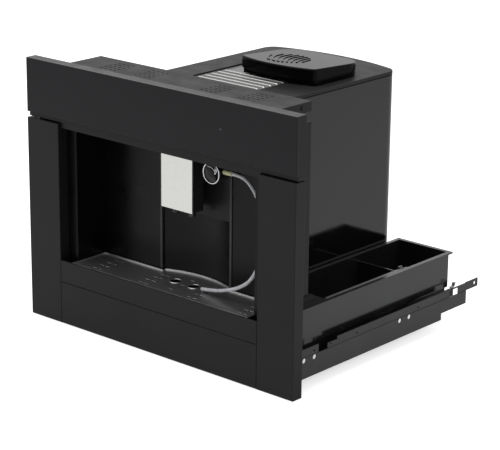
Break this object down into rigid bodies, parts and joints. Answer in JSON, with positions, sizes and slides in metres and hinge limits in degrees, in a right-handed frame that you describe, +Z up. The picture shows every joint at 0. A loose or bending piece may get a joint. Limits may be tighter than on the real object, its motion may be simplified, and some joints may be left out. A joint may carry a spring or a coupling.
{
  "type": "built in coffee machine",
  "caption": "Built-in coffee machine with a dark front, open niche with spout, frother and drip tray, bean hopper, side water tank and pull-out rails.",
  "frame": {"origin": "under the middle of the whole machine, at the height of the lower edge of its front", "axes": "+X to the right seen from the front, +Y to the back, +Z up"},
  "size_m": [0.594, 0.52, 0.4608],
  "materials": {
    "panel_glass": "dark glossy panel",
    "dark_panel": "dark satin lacquer",
    "frame_steel": "black lacquered steel",
    "dark_plastic": "matt black plastic",
    "liner_plastic": "glossy black plastic",
    "lid_plastic": "glossy black plastic of the hopper lid",
    "casing": "glossy black casing",
    "cover": "dark grey lacquered sheet",
    "grey_plate": "grey plate",
    "steel": "brushed stainless steel",
    "chrome": "polished chrome",
    "grid_steel": "dark brushed steel",
    "rail_steel": "dark grey lacquered steel",
    "zinc": "zinc-plated steel",
    "hose": "translucent silicone hose",
    "sleeve": "translucent yellowish silicone",
    "lens": "clear lens",
    "seal": "black silicone seal",
    "tank_plastic": "dark glossy plastic",
    "hopper_plastic": "smoked plastic",
    "circuit": "green circuit board",
    "alu": "cast aluminium",
    "burr_steel": "hardened steel",
    "white_plastic": "white engineering plastic"
  },
  "bodies": {
    "cabinet_rails": {"rail_bracket_right": "rail_steel", "rail_bracket_left": "rail_steel", "slide_outer": "rail_steel"},
    "middle_rails": {"slide_middle": "zinc"},
    "spout": {"carriage_plate": "dark_panel", "spout_plate": "steel", "spout_housing": "dark_plastic", "spout_nozzles": "dark_plastic"},
    "frother_dial": {"frother_knob": "dark_plastic", "knob_ring": "chrome"},
    "drip_tray": {"tray_front": "dark_panel", "tray_basin": "dark_plastic", "drip_grid": "grid_steel"},
    "lower_drawer": {"drawer_front": "dark_panel", "grounds_container": "dark_plastic"},
    "hopper_lid": {"hopper_lid": "lid_plastic", "lid_seal": "seal"},
    "water_tank": {"water_tank": "tank_plastic", "tank_valve": "dark_plastic"},
    "tank_handle": {"tank_handle": "grey_plate"},
    "grinder_burr": {"lower_burr": "burr_steel"},
    "brew_piston": {"brew_piston": "white_plastic"},
    "machine": {"control_panel": "panel_glass", "indicator_lens": "lens", "panel_housing": "dark_panel", "display_board": "circuit", "right_trim": "dark_panel", "left_trim": "dark_panel", "front_frame": "frame_steel", "header_strip": "dark_panel", "niche_liner": "liner_plastic", "niche_channel": "liner_plastic", "carriage_guides": "dark_plastic", "frother_body": "dark_plastic", "hose_sleeve": "sleeve", "milk_hose": "hose", "drawer_runners": "zinc", "vent_hood": "cover", "body_shell": "casing", "top_cover": "cover", "cup_plate": "grey_plate", "cup_rails": "chrome", "hopper_collar": "lid_plastic", "bean_hopper": "hopper_plastic", "grinder_housing": "dark_plastic", "upper_burr": "burr_steel", "grinder_motor": "zinc", "brew_frame": "white_plastic", "brew_cylinder": "white_plastic", "boiler": "alu", "pump": "zinc", "control_board": "circuit", "power_inlet": "dark_plastic", "base_pan": "frame_steel", "bulkhead": "zinc", "tank_dock": "dark_plastic", "slide_inner": "zinc", "cover_screws": "frame_steel"}
  },
  "joints": [
    {"name": "machine_slide", "type": "slide", "parent": "cabinet_rails", "child": "machine", "axis": [0, -1, 0], "range_m": [0, 0.33]},
    {"name": "middle_slide", "type": "slide", "parent": "cabinet_rails", "child": "middle_rails", "axis": [0, -1, 0], "range_m": [0, 0.165]},
    {"name": "spout_slide", "type": "slide", "parent": "machine", "child": "spout", "axis": [0, 0, -1], "range_m": [0, 0.06]},
    {"name": "frother_dial_turn", "type": "hinge", "parent": "machine", "child": "frother_dial", "pos_m": [0.0865, -0.215, 0.319], "axis": [0, 1, 0], "range_deg": [0, 90]},
    {"name": "drip_tray_slide", "type": "slide", "parent": "machine", "child": "drip_tray", "axis": [0, -1, 0], "range_m": [0, 0.11]},
    {"name": "lower_drawer_slide", "type": "slide", "parent": "machine", "child": "lower_drawer", "axis": [0, -1, 0], "range_m": [0, 0.2]},
    {"name": "hopper_lid_lift", "type": "slide", "parent": "machine", "child": "hopper_lid", "axis": [0, 0, 1], "range_m": [0, 0.12]},
    {"name": "water_tank_lift", "type": "slide", "parent": "machine", "child": "water_tank", "axis": [0, 0, 1], "range_m": [0, 0.2]},
    {"name": "tank_handle_turn", "type": "hinge", "parent": "water_tank", "child": "tank_handle", "pos_m": [0.2505, 0.078, 0.1215], "axis": [-1, 0, 0], "range_deg": [0, 90]},
    {"name": "burr_spin", "type": "hinge", "parent": "machine", "child": "grinder_burr", "pos_m": [0.052, 0.072, 0.35], "axis": [0, 0, 1], "continuous": true},
    {"name": "brew_piston_slide", "type": "slide", "parent": "machine", "child": "brew_piston", "axis": [0, 0, 1], "range_m": [0, 0.034]}
  ],
  "couplings": [
    {"joint": "middle_slide", "follows": "machine_slide", "ratio": 0.5}
  ]
}
